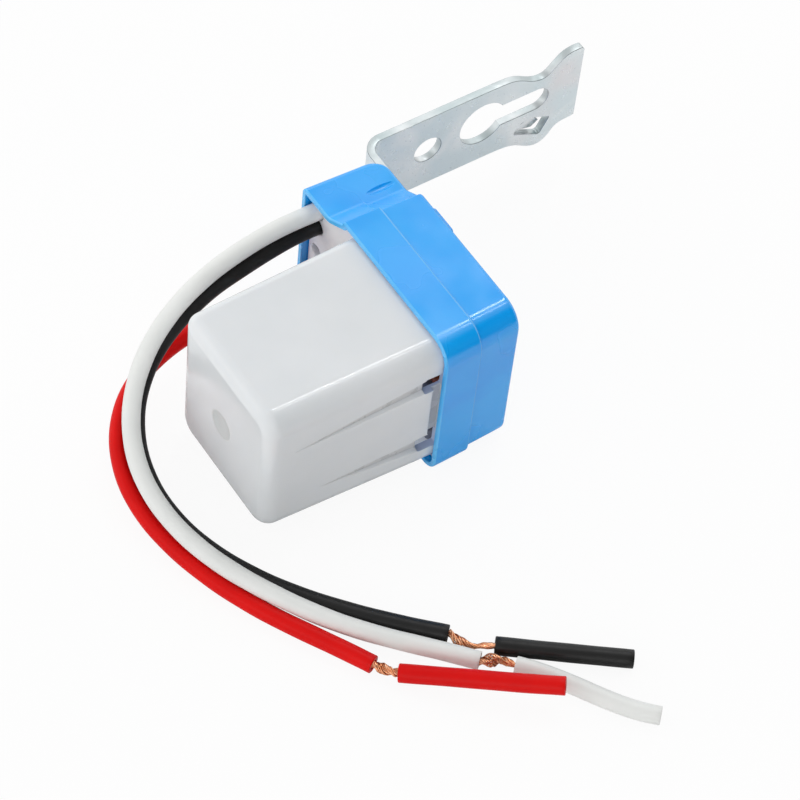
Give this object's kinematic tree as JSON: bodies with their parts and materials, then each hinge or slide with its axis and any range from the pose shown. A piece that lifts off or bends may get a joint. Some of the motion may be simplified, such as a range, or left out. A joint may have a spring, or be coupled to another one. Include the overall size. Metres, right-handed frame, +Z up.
{
  "type": "photocell switch",
  "caption": "Light-sensing switch: blue cap with a side lug, milky tapered housing over its circuit board, bent keyhole bracket at the back and insulated leads.",
  "frame": {"origin": "centre of the footprint of cap, housing and bracket, on the surface that the cap lies on", "axes": "+Z up from the side of the cap it lies on, -Y the way the housing points, +Y the way the bracket's plate points, +X away from the lug with the leads"},
  "size_m": [0.1136, 0.1127, 0.034],
  "materials": {
    "cap": "glossy blue moulding",
    "housing": "milky translucent, satin",
    "bracket": "zinc plated sheet",
    "white_wire": "satin insulation",
    "black_wire": "satin insulation",
    "red_wire": "satin insulation",
    "white_sleeve": "satin insulation",
    "black_sleeve": "satin insulation",
    "red_sleeve": "satin insulation",
    "white_strands": "bare copper strands",
    "black_strands": "bare copper strands",
    "red_strands": "bare copper strands",
    "white_core": "tinned copper",
    "black_core": "tinned copper",
    "red_core": "tinned copper",
    "circuit_board": "resin bonded laminate",
    "relay": "moulded case",
    "film_capacitor": "dipped case",
    "electrolytic_capacitor": "can in a dark sleeve",
    "photoresistor": "glazed disc on wire legs",
    "zener_diode": "glass body",
    "transistor": "moulded epoxy",
    "diode_1": "moulded epoxy",
    "diode_2": "moulded epoxy",
    "diode_3": "moulded epoxy",
    "diode_4": "moulded epoxy",
    "resistor_1": "lacquered body",
    "resistor_2": "lacquered body",
    "resistor_3": "lacquered body"
  },
  "bodies": {
    "root": {"cap": "cap", "housing": "housing", "bracket": "bracket", "white_wire": "white_wire", "black_wire": "black_wire", "red_wire": "red_wire", "white_sleeve": "white_sleeve", "black_sleeve": "black_sleeve", "red_sleeve": "red_sleeve", "white_strands": "white_strands", "black_strands": "black_strands", "red_strands": "red_strands", "white_core": "white_core", "black_core": "black_core", "red_core": "red_core", "circuit_board": "circuit_board", "relay": "relay", "film_capacitor": "film_capacitor", "electrolytic_capacitor": "electrolytic_capacitor", "photoresistor": "photoresistor", "zener_diode": "zener_diode", "transistor": "transistor", "diode_1": "diode_1", "diode_2": "diode_2", "diode_3": "diode_3", "diode_4": "diode_4", "resistor_1": "resistor_1", "resistor_2": "resistor_2", "resistor_3": "resistor_3"}
  },
  "joints": []
}
